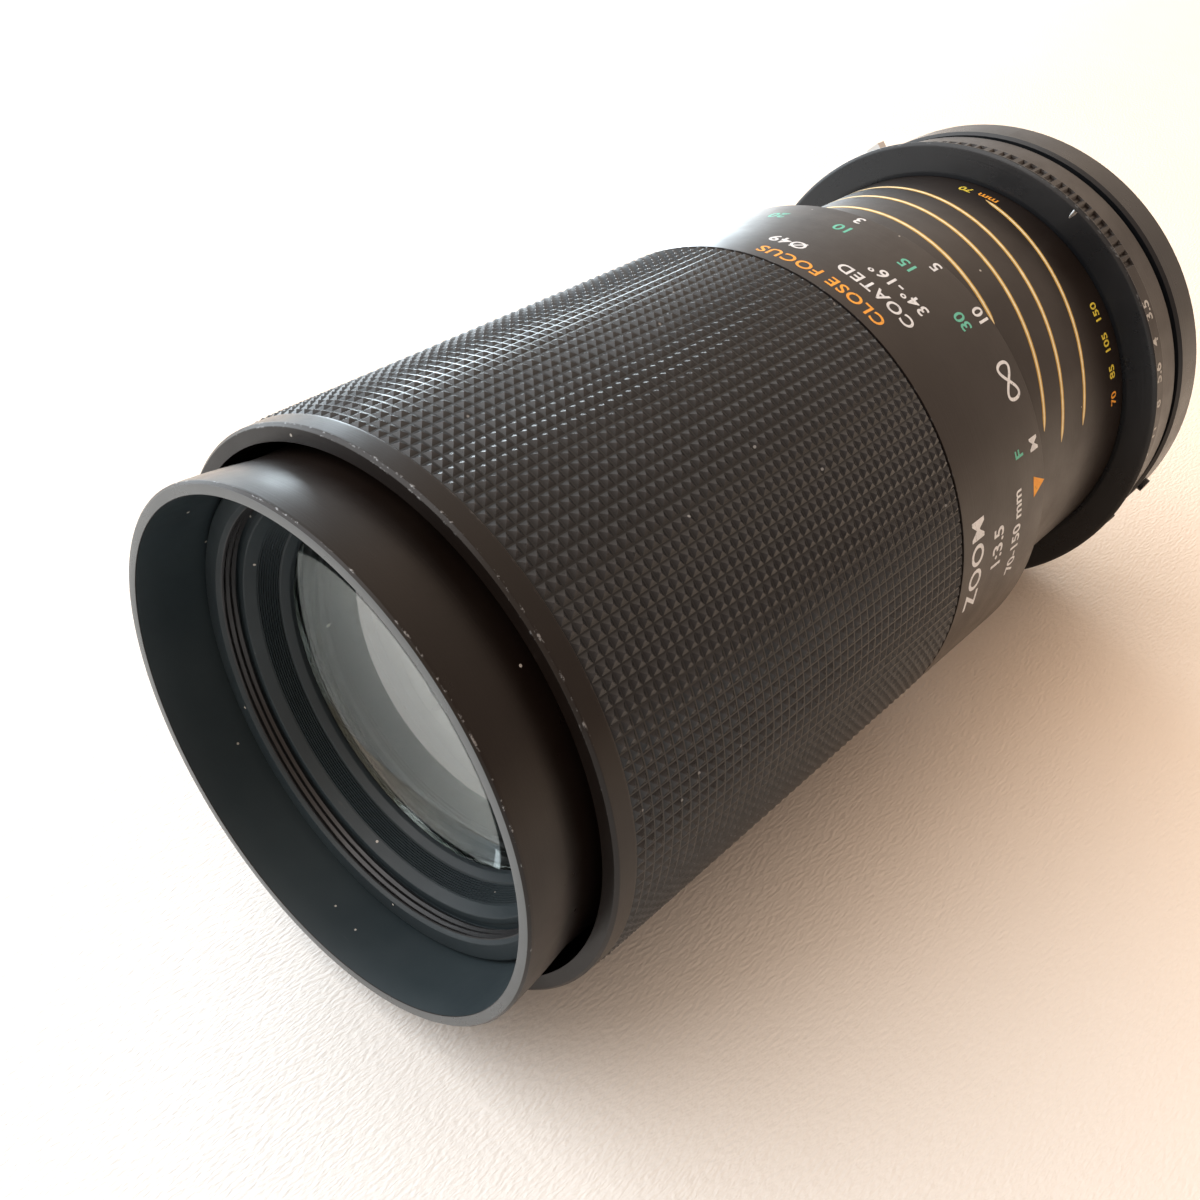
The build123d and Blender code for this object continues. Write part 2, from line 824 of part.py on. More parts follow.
def mount_ring():
    """The ring behind the groove; the barrel ends on its front face."""
    chamfer_size = 0.4
    face_inner = lug_radius + 0.3
    body = turned([
        (throat_radius + seat_gap, mount_front),
        (mount_ring_radius - chamfer_size, mount_front),
        (mount_ring_radius, mount_front + chamfer_size),
        (mount_ring_radius, mount_face - chamfer_size),
        (mount_ring_radius - chamfer_size, mount_face),
        (face_inner, mount_face),
        (face_inner, mount_face - 0.6),
        (throat_radius + seat_gap, mount_face - 0.6),
    ])
    body -= detent_hole()
    head = mount_screw_head + seat_gap
    shank = mount_screw_radius + seat_gap
    for angle in spaced(4, 45):
        body -= axial(head, mount_screw_place, mount_face - 1.4, mount_face + 1, angle)
        body -= axial(shank, mount_screw_place, mount_front - 1, mount_face, angle)
    pocket_front = release_y0 - 0.15
    pocket_rear = release_y1 + 0.15
    outer = mount_ring_radius + 1
    body -= sector(release_inner, outer, pocket_front, pocket_rear, release_angle, 22)
    pivot = release_pin + seat_gap
    body -= axial(pivot, release_pivot, mount_front - 1, release_y1 + 0.9, release_angle)
    return body


def mount_screws():
    """Four countersunk screws through the mount ring."""
    head_front = mount_face - 1.35
    slot_inner = mount_screw_place - 2
    slot_outer = mount_screw_place + 2
    screws = []
    for angle in spaced(4, 45):
        head = axial(mount_screw_head, mount_screw_place, head_front, mount_face - 0.15, angle)
        shank = axial(mount_screw_radius, mount_screw_place, mount_front + 0.2, head_front + 0.05, angle)
        slot = block(0.4, slot_inner, slot_outer, mount_face - 0.6, mount_face + 1, angle)
        screws.append(head + shank - slot)
    return united(screws)


def bayonet_throat():
    """The tube that enters the camera, with its three lugs."""
    rear = mount_face + throat_length
    body = tube(throat_bore, throat_radius, mount_front + 0.6, rear)
    lug_rear = rear - 0.4
    lug_front = lug_rear - lug_thickness
    for angle in spaced(lug_count, 20):
        body += sector(throat_radius - 0.5, lug_radius, lug_front, lug_rear, angle, lug_angle)
    return body


def release_lever():
    """Turns in a pocket of the mount ring about a pin that lies along the axis."""
    edge = mount_ring_radius
    body = axial(1.2, release_pivot, release_y0, release_y1, release_angle)
    arm_middle = release_angle + 3.5
    thumb_middle = release_angle + 4.0
    arm = sector(release_pivot - 0.5, edge + 0.5, release_y0, release_y1, arm_middle, 5.0)
    thumb = sector(edge, edge + 1.8, release_y0, release_y1, thumb_middle, 4.0)
    pin = axial(release_pin, release_pivot, release_y0 - 0.9, release_y1 + 0.8, release_angle)
    return body + arm + thumb + pin


def index_button():
    y = (mount_front + mount_face) / 2
    return spoke(1.0, mount_ring_radius + 0.02, mount_ring_radius + 0.6, y, button_angle)


# Rear group

def rear_cell():
    bore = rear_cell_radius - rear_cell_wall
    seat = bore - 1.0
    seat_front = rear_glass_rear - 5.2
    seat_rear = rear_glass_rear - 3.2
    body = turned([
        (bore, iris_cover_front),
        (rear_cell_radius, iris_cover_front),
        (rear_cell_radius, rear_cell_rear),
        (bore, rear_cell_rear),
        (bore, seat_rear),
        (seat, seat_rear),
        (seat, seat_front),
        (bore, seat_front),
    ])
    plate_outer = barrel_bore - seat_gap
    plate = tube(rear_cell_radius - 0.3, plate_outer, mount_front - 1.4, mount_front - 0.1)
    return body + plate


def rear_front_glass():
    y = rear_cell_front + 0.7
    return glass(rear_glass_radius, y, 1.2, y + 3.6, -0.5)


def rear_middle_glass():
    rear = rear_glass_rear - 5.6
    return glass(rear_glass_radius, rear - 1.6, -0.9, rear - 0.6, 0.4)


def rear_glass():
    return glass(rear_glass_radius, rear_glass_rear - 3.9, 1.1, rear_glass_rear, -0.9)


def rear_lock_ring():
    inner = rear_glass_radius - 1.3
    return tube(inner, rear_glass_radius, rear_glass_rear + 0.2, rear_glass_rear + 1.8)


def rear_baffle():
    """A plate with a rectangular window that keeps stray light off the film."""
    y0 = rear_cell_rear + 0.05
    plate = tube(4.0, rear_cell_radius, y0, y0 + 0.5)
    window = Pos(0, y0, 0) * Box(24, 4, 17)
    return plate - window


def stop_down_lever():
    """A ring that turns in the throat, with a tab for the camera's own lever."""
    inner = rear_cell_radius + 0.4
    tab_rear = mount_face + throat_length - 0.8
    body = tube(inner, lever_ring_radius, lever_front, lever_front + 1.2)
    tab = sector(inner + 0.3, lever_ring_radius, lever_front, tab_rear, lever_angle, 7)
    return body + tab


makers = {
    "hood_tube": hood_tube,
    "hood_brake_ring": hood_brake_ring,
    "front_cell": front_cell,
    "front_trim_ring": front_trim_ring,
    "front_element": front_element,
    "second_element": second_element,
    "front_spacer_ring": front_spacer_ring,
    "third_element": third_element,
    "front_lock_ring": front_lock_ring,
    "grip_core": grip_core,
    "grip_front_ring": grip_front_ring,
    "rubber_grip": rubber_grip,
    "scale_sleeve": scale_sleeve,
    "grip_screws": grip_screws,
    "carriage_tube": carriage_tube,
    "carriage_keys": carriage_keys,
    "cam_driver_pin": cam_driver_pin,
    "stop_ring_nut": stop_ring_nut,
    "focus_stop_ring": focus_stop_ring,
    "fixed_barrel": fixed_barrel,
    "guide_tube": guide_tube,
    "cam_tube": cam_tube,
    "cam_retaining_ring": cam_retaining_ring,
    "variator_cell": variator_cell,
    "variator_front_glass": variator_front_glass,
    "variator_rear_glass": variator_rear_glass,
    "variator_pins": variator_pins,
    "compensator_cell": compensator_cell,
    "compensator_glass": compensator_glass,
    "compensator_pins": compensator_pins,
    "iris_base_plate": iris_base_plate,
    "iris_drive_ring": iris_drive_ring,
    "iris_cover": iris_cover,
    "aperture_arm": aperture_arm,
    "aperture_ring": aperture_ring,
    "collar": collar,
    "collar_screws": collar_screws,
    "detent_ball": detent_ball,
    "detent_spring": detent_spring,
    "mount_ring": mount_ring,
    "mount_screws": mount_screws,
    "bayonet_throat": bayonet_throat,
    "release_lever": release_lever,
    "index_button": index_button,
    "rear_cell": rear_cell,
    "rear_front_glass": rear_front_glass,
    "rear_middle_glass": rear_middle_glass,
    "rear_glass": rear_glass,
    "rear_lock_ring": rear_lock_ring,
    "rear_baffle": rear_baffle,
    "stop_down_lever": stop_down_lever,
}

os.makedirs("parts", exist_ok=True)
for node, make in makers.items():
    export_step(make(), f"parts/{node}.step")
for number in range(blade_count):
    export_step(iris_blade(number), f"parts/iris_blade_{number + 1}.step")
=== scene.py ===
import bmesh
import bpy
import json
from math import cos, degrees, pi, radians, sin, sqrt
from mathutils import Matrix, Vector


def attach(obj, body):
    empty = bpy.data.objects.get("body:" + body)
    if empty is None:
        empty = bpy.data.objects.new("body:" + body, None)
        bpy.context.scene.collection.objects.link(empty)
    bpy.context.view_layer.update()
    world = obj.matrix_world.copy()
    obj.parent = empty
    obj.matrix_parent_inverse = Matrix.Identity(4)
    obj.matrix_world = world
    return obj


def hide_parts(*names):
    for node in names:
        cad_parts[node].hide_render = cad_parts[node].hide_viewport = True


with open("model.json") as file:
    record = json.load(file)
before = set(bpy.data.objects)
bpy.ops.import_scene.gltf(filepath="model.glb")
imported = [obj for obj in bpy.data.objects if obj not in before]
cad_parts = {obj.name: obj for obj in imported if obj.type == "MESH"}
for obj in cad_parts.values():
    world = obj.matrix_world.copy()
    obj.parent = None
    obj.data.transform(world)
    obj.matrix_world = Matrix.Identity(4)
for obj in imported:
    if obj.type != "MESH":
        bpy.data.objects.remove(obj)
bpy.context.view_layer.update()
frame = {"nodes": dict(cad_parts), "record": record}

mm = 0.001  # outlines are in millimetres: (radius, station along the axis, softness, wear)
print("frame loaded")


def softened(outline):
    # each corner becomes a short curve, and a worn one gets a guard ring on long faces
    count = len(outline)
    points = []
    for i in range(count):
        corner = list(outline[i]) + [0.0] * (4 - len(outline[i]))
        here = Vector(corner[:2])
        soft, wear = corner[2:]
        before = Vector(outline[i - 1][:2]) - here
        after = Vector(outline[(i + 1) % count][:2]) - here
        reach = min(soft, 0.4 * before.length, 0.4 * after.length)
        if reach < 0.004:
            points.append((here.x, here.y, wear))
            continue
        a = here + before.normalized() * reach
        b = here + after.normalized() * reach
        if wear > 0 and before.length > 6 * reach:
            guard = here + before.normalized() * reach * 2.4
            points.append((guard.x, guard.y, 0.0))
        for t in (0.0, 0.3, 0.7, 1.0):
            p = a * (1 - t) ** 2 + here * 2 * t * (1 - t) + b * t ** 2
            points.append((p.x, p.y, wear))
        if wear > 0 and after.length > 6 * reach:
            guard = here + after.normalized() * reach * 2.4
            points.append((guard.x, guard.y, 0.0))
    return points


def meshPiece(name, verts, faces, wears=None, angle=32, tidy=True):
    # wears marks the points where the finish is rubbed
    mesh = bpy.data.meshes.new(name)
    mesh.from_pydata(verts, [], faces)
    if wears:
        layer = mesh.attributes.new("wear", "FLOAT", "POINT")
        layer.data.foreach_set("value", wears)
    if tidy:
        work = bmesh.new()
        work.from_mesh(mesh)
        bmesh.ops.recalc_face_normals(work, faces=work.faces)
        work.to_mesh(mesh)
        work.free()
    mesh.shade_smooth()
    mesh.set_sharp_from_angle(angle=radians(angle))
    made = bpy.data.objects.new(name, mesh)
    bpy.context.collection.objects.link(made)
    return made


def lathe(name, outline, steps=256, bend=None, start=0.0, sweep=360.0, raw=False, angle=32):
    # an outline turned about the axis; bend can move each point
    ring = [(p[0], p[1], 0.0) for p in outline] if raw else softened(outline)
    whole = sweep >= 360
    columns = steps if whole else steps + 1
    verts = []
    wears = []
    for c in range(columns):
        a = radians(start + sweep * c / steps)
        for r, y, wear in ring:
            if bend:
                r, y = bend(r, y, a)
            verts.append((r * sin(a) * mm, y * mm, r * cos(a) * mm))
            wears.append(wear)
    n = len(ring)
    faces = []
    for c in range(steps):
        d = (c + 1) % columns
        for i in range(n):
            j = (i + 1) % n
            faces.append((c * n + i, c * n + j, d * n + j, d * n + i))
    if not whole:
        faces.append(tuple(range(n)))
        faces.append(tuple(range(steps * n, steps * n + n)))
    return meshPiece(name, verts, faces, wears, angle)


def joined(name, parts):
    # several meshes made into one piece
    for part in bpy.context.selected_objects:
        part.select_set(False)
    for part in parts:
        part.select_set(True)
    bpy.context.view_layer.objects.active = parts[0]
    bpy.ops.object.join()
    parts[0].name = name
    parts[0].data.name = name
    return parts[0]


lettering = {"lift": 0.012, "bold": 0.02, "longestEdge": 0.35}


def words(name, text, size, radius, station, angle, spread=1.0):
    # letters wrapped round the axis: their tops point to the front and they read towards smaller angles
    curve = bpy.data.curves.new(name, "FONT")
    curve.body = text
    curve.size = size
    curve.space_character = spread
    curve.offset = lettering["bold"] * size
    curve.align_x = "CENTER"
    curve.align_y = "CENTER"
    curve.resolution_u = 5
    flat = bpy.data.objects.new(name, curve)
    bpy.context.collection.objects.link(flat)
    bpy.context.view_layer.update()
    mesh = bpy.data.meshes.new_from_object(flat.evaluated_get(bpy.context.evaluated_depsgraph_get()))
    bpy.data.objects.remove(flat)
    work = bmesh.new()
    work.from_mesh(mesh)
    bmesh.ops.triangulate(work, faces=work.faces)
    for again in range(3):  # long edges are cut so that they follow the curve
        wide = [e for e in work.edges if abs(e.verts[0].co.x - e.verts[1].co.x) > lettering["longestEdge"]]
        if wide:
            bmesh.ops.subdivide_edges(work, edges=wide, cuts=1)
            bmesh.ops.triangulate(work, faces=work.faces)
    r = radius + lettering["lift"]
    for v in work.verts:
        a = radians(angle) - v.co.x / radius
        v.co = Vector((r * sin(a) * mm, (station - v.co.y) * mm, r * cos(a) * mm))
    work.to_mesh(mesh)
    work.free()
    made = bpy.data.objects.new(name, mesh)
    bpy.context.collection.objects.link(made)
    return made


class Finish:
    # a material with one main shader, and short ways to add nodes to it

    def __init__(self, name):
        self.material = bpy.data.materials.new(name)
        self.material.use_nodes = True
        self.tree = self.material.node_tree
        self.tree.nodes.clear()
        self.out = self.tree.nodes.new("ShaderNodeOutputMaterial")
        self.shader = self.node("ShaderNodeBsdfPrincipled")
        self.tree.links.new(self.shader.outputs[0], self.out.inputs[0])
        self.where = self.node("ShaderNodeTexCoord").outputs["Object"]

    def node(self, kind, **inputs):
        # inputs are given by name, or by place as i0, i1 and so on
        made = self.tree.nodes.new(kind)
        for key, value in inputs.items():
            self.put(made, int(key[1:]) if key[0] == "i" and key[1:].isdigit() else key, value)
        return made

    def put(self, made, key, value):
        if isinstance(value, bpy.types.NodeSocket):
            self.tree.links.new(value, made.inputs[key])
        else:
            made.inputs[key].default_value = value

    def calc(self, kind, a, b=0.0):
        made = self.node("ShaderNodeMath", i0=a, i1=b)
        made.operation = kind
        return made.outputs[0]

    def noise(self, scale, detail=4.0, rough=0.6, where=None):
        made = self.node("ShaderNodeTexNoise", Vector=where or self.where, Scale=scale, Detail=detail, Roughness=rough)
        return made.outputs[0]

    def spots(self, scale):
        made = self.node("ShaderNodeTexVoronoi", Vector=self.where, Scale=scale)
        return made.outputs["Distance"], made.outputs["Color"]

    def ramp(self, value, low, high):
        # 0 at low, 1 at high
        made = self.node("ShaderNodeMapRange", Value=value)
        made.inputs["From Min"].default_value = low
        made.inputs["From Max"].default_value = high
        made.clamp = True
        return made.outputs[0]

    def mix(self, share, a, b):
        made = self.node("ShaderNodeMix")
        made.data_type = "RGBA"
        self.put(made, 0, share)
        self.put(made, 6, a)
        self.put(made, 7, b)
        return made.outputs[2]

    def blend(self, share, a, b):
        made = self.node("ShaderNodeMix", i0=share, i2=a, i3=b)
        return made.outputs[0]

    def around(self):
        # (arc, axis, radius) in metres, for marks that follow the turning
        split = self.node("ShaderNodeSeparateXYZ", Vector=self.where)
        turn = self.calc("ARCTAN2", split.outputs[0], split.outputs[2])
        arc = self.calc("MULTIPLY", turn, 0.03)
        square = self.calc("ADD", self.calc("MULTIPLY", split.outputs[0], split.outputs[0]),
                          self.calc("MULTIPLY", split.outputs[2], split.outputs[2]))
        radius = self.calc("SQRT", square)
        return self.node("ShaderNodeCombineXYZ", X=arc, Y=split.outputs[1], Z=radius).outputs[0]

    def stretched(self, where, scale):
        made = self.node("ShaderNodeMapping", Vector=where)
        made.inputs["Scale"].default_value = scale
        return made.outputs[0]

    def bump(self, height, strength, distance):
        made = self.node("ShaderNodeBump", Strength=strength, Distance=distance, Height=height)
        self.put(self.shader, "Normal", made.outputs[0])


def coat(name, colour, other, rough=0.38, roughSpread=0.12, metal=0.0, grain=9000, grainDepth=0.00001,
         lines=0.0, wearAndHighlightColour=(0.26, 0.27, 0.28, 1), wearAndHighlightLow=0.65, dust=0.35, dustColour=(0.42, 0.4, 0.37, 1),
         scratch=0.3, specular=0.5, wornMetal=0.9):
    # metal, paint or rubber: two tones, grain, tool lines, dust, hair scratches and rubbed edges, rubbed more on the
    # upper side as a painted highlight along the top edges
    f = Finish(name)
    turned = f.around()
    broad = f.noise(55.0, 5.0)
    fine = f.noise(grain, 2.0)
    base = f.mix(f.ramp(broad, 0.35, 0.65), colour, other)
    # specks of dust: the centres of a few random cells
    near, tint = f.spots(520.0)
    pick = f.node("ShaderNodeSeparateColor", Color=tint)
    small = f.calc("LESS_THAN", near, 0.085)
    rare = f.calc("GREATER_THAN", pick.outputs[0], 1.0 - 0.16 * dust)
    speck = f.calc("MULTIPLY", small, rare)
    # fine hair scratches
    hair = f.noise(1.0, 3.0, 0.7, f.stretched(turned, (240, 2600, 240)))
    hairLine = f.ramp(hair, 0.70, 0.74)
    patch = f.ramp(f.noise(120.0, 2.0), 0.54, 0.62)
    hairMask = f.calc("MULTIPLY", f.calc("MULTIPLY", hairLine, patch), scratch)
    # rubbed edges, with more rubbing higher up as a painted highlight along the top edges
    edge = f.node("ShaderNodeAttribute")
    edge.attribute_name = "wear"
    high = f.ramp(f.node("ShaderNodeSeparateXYZ", Vector=f.where).outputs[2], -0.012, 0.024)
    chipsAndTopHighlight = f.calc("ADD", f.noise(900.0, 6.0, 0.75), f.calc("MULTIPLY", high, 0.10))
    wearAndTopHighlight = f.calc("MULTIPLY", edge.outputs["Fac"], f.ramp(chipsAndTopHighlight, wearAndHighlightLow, wearAndHighlightLow + 0.08))
    shade = f.mix(f.calc("MULTIPLY", hairMask, 0.4), base, (0.16, 0.15, 0.14, 1))
    shade = f.mix(wearAndTopHighlight, shade, wearAndHighlightColour)
    shade = f.mix(speck, shade, dustColour)
    f.put(f.shader, "Base Color", shade)
    smear = f.ramp(f.noise(160.0, 4.0, 0.65), 0.3, 0.7)
    gloss = f.blend(smear, rough - roughSpread / 2, rough + roughSpread / 2)
    gloss = f.calc("ADD", gloss, f.calc("MULTIPLY", speck, 0.4))
    f.put(f.shader, "Roughness", gloss)
    f.put(f.shader, "Metallic", f.blend(wearAndTopHighlight, metal, max(metal, wornMetal)))
    f.shader.inputs["Specular IOR Level"].default_value = specular
    height = f.calc("ADD", fine, f.calc("MULTIPLY", speck, 3.0))
    if lines:
        tool = f.noise(1.0, 2.0, 0.5, f.stretched(turned, (14, lines, lines)))
        height = f.calc("ADD", height, f.calc("MULTIPLY", tool, 1.2))
    f.bump(height, 0.55, grainDepth)
    return f.material


def paint(name, colour, other, cover=0.3):
    # ink that has flaked where the noise is below cover
    f = Finish(name)
    gone = f.ramp(f.noise(2600.0, 4.0, 0.7), cover, cover + 0.1)
    tone = f.mix(f.ramp(f.noise(900.0, 3.0), 0.35, 0.65), colour, other)
    f.put(f.shader, "Base Color", f.mix(gone, (0.045, 0.038, 0.033, 1), tone))
    f.put(f.shader, "Roughness", f.blend(gone, 0.5, 0.6))
    f.bump(f.noise(7000.0, 2.0), 0.4, 0.00001)
    return f.material


def glassFinish(name, tint, other):
    # clear coated glass with a faint haze
    f = Finish(name)
    f.shader.inputs["Transmission Weight"].default_value = 1.0
    f.shader.inputs["IOR"].default_value = 1.62
    haze = f.noise(90.0, 3.0)
    dusty = f.ramp(haze, 0.55, 0.75)
    f.put(f.shader, "Base Color", f.mix(f.ramp(haze, 0.3, 0.7), tint, other))
    f.put(f.shader, "Roughness", f.blend(dusty, 0.0, 0.004))
    return f.material


finishes = {
    "hood_black": coat("hoodBlack", (0.0050, 0.0030, 0.0022, 1), (0.0080, 0.0050, 0.0038, 1), rough=0.32, lines=5200, dust=0.6,
                       specular=0.3),
    "grip_metal": coat("gripMetal", (0.0055, 0.0036, 0.0028, 1), (0.0085, 0.0058, 0.0046, 1),
                       rough=0.32, lines=5200, specular=0.3),
    "grip_rubber": coat("gripRubber", (0.0055, 0.0068, 0.0082, 1), (0.0095, 0.0112, 0.0130, 1),
                        rough=0.20, roughSpread=0.08, specular=0.32,
                        grain=7000, grainDepth=0.000012, wearAndHighlightColour=(0.03, 0.031, 0.034, 1), wearAndHighlightLow=0.45, dust=0.5,
                        dustColour=(0.2, 0.2, 0.2, 1), scratch=0.0, wornMetal=0.0),
    "barrel_black": coat("barrelBlack", (0.0085, 0.0052, 0.0038, 1), (0.0125, 0.0082, 0.0063, 1),
                         rough=0.36, lines=4600, specular=0.38),
    "ring_black": coat("ringBlack", (0.0035, 0.0048, 0.0068, 1), (0.0062, 0.0076, 0.0098, 1),
                       rough=0.3, lines=4600, specular=0.4),
    "inner_black": coat("innerBlack", (0.0120, 0.0185, 0.0225, 1), (0.0165, 0.0245, 0.0290, 1),
                        rough=0.46, lines=4000, dust=0.7, specular=0.3, grainDepth=0.000004),
    "inner_metal": coat("innerMetal", (0.02, 0.02, 0.021, 1), (0.035, 0.035, 0.037, 1),
                        rough=0.34, metal=0.5, lines=3600, grainDepth=0.000003),
    "cam_brass": coat("camBrass", (0.42, 0.29, 0.11, 1), (0.5, 0.36, 0.15, 1), rough=0.3, metal=1.0, lines=3600, dust=0),
    "steel": coat("steel", (0.5, 0.5, 0.5, 1), (0.4, 0.4, 0.41, 1), rough=0.3, metal=1.0, lines=3600, dust=0),
    "mount_chrome": coat("mountChrome", (0.62, 0.62, 0.61, 1), (0.54, 0.54, 0.54, 1), rough=0.26, metal=1.0, lines=3000,
                         wearAndHighlightColour=(0.45, 0.38, 0.25, 1)),
    "blade_steel": coat("bladeSteel", (0.12, 0.12, 0.125, 1), (0.18, 0.18, 0.185, 1), rough=0.35, metal=0.9, dust=0),
    "coated_glass": glassFinish("coatedGlass", (0.90, 0.95, 0.95, 1), (0.93, 0.97, 0.95, 1)),
}
rimFace = coat("rimFace", (0.032, 0.038, 0.041, 1), (0.045, 0.052, 0.056, 1), rough=0.3, lines=5200, specular=0.9, dust=0.3)
# a lighter copy of the inner black for the hood's inner wall: painted light where the light reaches into the hood
hoodInsidePaintedLight = coat("hoodInsidePaintedLight", (0.0170, 0.0260, 0.0310, 1), (0.0220, 0.0320, 0.0370, 1), rough=0.46, lines=4000, dust=0.7,
                  specular=0.3, grainDepth=0.000004)
inks = {
    "white": paint("whitePaint", (0.72, 0.73, 0.74, 1), (0.6, 0.61, 0.63, 1)),
    "orange": paint("orangePaint", (0.83, 0.36, 0.03, 1), (0.75, 0.30, 0.03, 1)),
    "green": paint("greenPaint", (0.10, 0.42, 0.30, 1), (0.13, 0.48, 0.36, 1)),
    "yellow": paint("yellowPaint", (0.72, 0.58, 0.05, 1), (0.62, 0.48, 0.05, 1)),
    "gold": paint("goldPaint", (0.44, 0.26, 0.045, 1), (0.56, 0.35, 0.08, 1), cover=0.2),
    # cream: a painted highlight down the middle of the gold zoom lines
    "cream": paint("creamHighlight", (0.74, 0.64, 0.38, 1), (0.82, 0.74, 0.5, 1), cover=0.15),
    "grey": paint("greyPaint", (0.5, 0.49, 0.46, 1), (0.4, 0.39, 0.37, 1)),
}
for part in frame["record"]["subparts"]:
    node = frame["nodes"][part["node"]]
    node.data.materials.clear()
    node.data.materials.append(finishes[part["material_slot"]])
print("finishes made")


def fit(piece, body, slot, *nodes, finish=None):
    # a finish, the body it moves with, and the CAD nodes it stands in for
    piece.data.materials.clear()
    piece.data.materials.append(finish or finishes[slot])
    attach(piece, body)
    if nodes:
        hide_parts(*nodes)
    return piece


def second(piece, finish, belongs):
    # a second finish on the faces whose (radius, station) pass the test
    piece.data.materials.append(finish)
    for face in piece.data.polygons:
        c = face.center / mm
        if belongs(sqrt(c.x ** 2 + c.z ** 2), c.y):
            face.material_index = len(piece.data.materials) - 1


def eased(width, *nodes):
    # softened edges on CAD parts that stay as they are
    for name in nodes:
        edge = frame["nodes"][name].modifiers.new("edge", "BEVEL")
        edge.width = width * mm
        edge.segments = 2
        edge.limit_method = "ANGLE"
        edge.angle_limit = radians(40)
        edge.harden_normals = False


hood = {"rim": -128.7, "rear": -98.9, "rimRadius": 29.0, "radius": 28.0, "bore": 27.2, "lipBore": 26.45}
hoodTube = lathe("hoodTube", [
    (27.70, hood["rim"], 0.10),
    (28.76, hood["rim"], 0.04),
    (hood["rimRadius"], hood["rim"] + 0.24, 0.05, 1.0),
    (hood["rimRadius"], hood["rim"] + 0.5, 0.2),
    (28.88, hood["rim"] + 2.2, 0.8),
    (28.60, hood["rim"] + 4.6, 0.9),
    (hood["radius"], hood["rim"] + 8.6, 1.2),
    (hood["radius"], hood["rear"], 0.1),
    (hood["lipBore"], hood["rear"], 0.1),
    (hood["lipBore"], hood["rear"] - 1.4, 0.1),
    (hood["bore"], hood["rear"] - 1.4, 0.05),
    (hood["bore"], hood["rim"] + 7.0, 0.5),
    (27.45, hood["rim"] + 3.4, 0.5),
], steps=320)
fit(hoodTube, "hood", "hood_black", "hood_tube")
second(hoodTube, rimFace, lambda r, y: y < hood["rim"] + 0.01)
# the hood's inner wall takes the lighter copy of the inner black: painted light
second(hoodTube, hoodInsidePaintedLight, lambda r, y: r < 27.6 and y > hood["rim"] + 0.1)
print("hood made")


cell = {"front": -121.1, "radius": 26.9, "slimRadius": 26.15, "glassSeat": 21.55,
        "threadRadius": 24.5, "threadPitch": 0.75, "threadDepth": 0.2, "threadFrom": -120.72, "threadTo": -118.95,
        "threadSteps": 34}


def thread(r, y, a):
    # presses the V of the filter thread into its plain wall
    if abs(r - cell["threadRadius"]) < 0.05 and cell["threadFrom"] < y < cell["threadTo"]:
        turn = ((y - cell["threadFrom"]) / cell["threadPitch"] - a / (2 * pi)) % 1.0
        r -= cell["threadDepth"] * (1 - abs(2 * turn - 1))
    return r, y


frontOutline = []
for k in range(cell["threadSteps"] + 1):
    share = k / cell["threadSteps"]
    frontOutline.append((cell["threadRadius"], cell["threadTo"] + (cell["threadFrom"] - cell["threadTo"]) * share, 0.0))
frontOutline += [
    (24.85, cell["front"], 0.08),
    (26.60, cell["front"], 0.08),
    (cell["radius"], cell["front"] + 0.3, 0.08),
    (cell["radius"], -118.0, 0.05),
    (26.05, -118.0, 0.05),
    (26.05, -116.4, 0.05),
    (cell["radius"], -116.4, 0.05),
    (cell["radius"], -115.5, 0.1),
    (cell["slimRadius"], -115.5, 0.1),
    (cell["slimRadius"], -98.2, 0.1),
    (29.00, -98.2, 0.1),
    (29.00, -95.2, 0.1),
    (24.75, -95.2, 0.1),
    (24.75, -77.2, 0.1),
    (23.35, -77.2, 0.1),
    (23.35, -95.9, 0.1),
    (cell["glassSeat"], -95.9, 0.1),
    (cell["glassSeat"], -114.3, 0.1),
    (24.00, -114.3, 0.1),
    (24.00, -118.6, 0.05),
    (24.75, -118.6, 0.05),
    (24.75, -119.0, 0.05),
]
frontCell = lathe("frontCell", frontOutline, steps=300, bend=thread, angle=24)
fit(frontCell, "focus_grip", "inner_black", "front_cell")
second(frontCell, finishes["inner_metal"],
       lambda r, y: r < cell["threadRadius"] + 0.06 and cell["threadFrom"] < y < cell["threadTo"])

trap = {"front": -118.8, "rear": -114.4, "outer": 23.95, "inner": 20.4, "stepsFrom": 22.45, "stepsTo": 21.15,
        "steps": 9, "groove": 0.09}
trimOutline = [
    (trap["inner"], trap["rear"], 0.04),
    (trap["outer"], trap["rear"], 0.05),
    (trap["outer"], trap["front"], 0.06),
    (23.3, trap["front"], 0.1, 0.3),
    (22.5, trap["front"] + 1.1, 0.15),
]
stepsFront = trap["front"] + 1.25
stepsRear = trap["rear"] - 1.35
drop = (trap["stepsFrom"] - trap["stepsTo"]) / trap["steps"]
deep = (stepsRear - stepsFront) / trap["steps"]
for k in range(trap["steps"]):  # the fine grooves of the light trap
    r = trap["stepsFrom"] - k * drop
    y = stepsFront + k * deep
    step = r - drop * 0.5
    cut = step + trap["groove"]
    trimOutline += [(r, y, 0.02), (step, y, 0.02), (cut, y + deep * 0.5, 0.02), (cut, y + deep, 0.02)]
trimOutline += [(21.05, stepsRear + 0.1, 0.05), (20.45, trap["rear"] - 0.5, 0.08)]
trimRing = lathe("trimRing", trimOutline, steps=300, angle=24)
fit(trimRing, "focus_grip", "inner_black", "front_trim_ring")


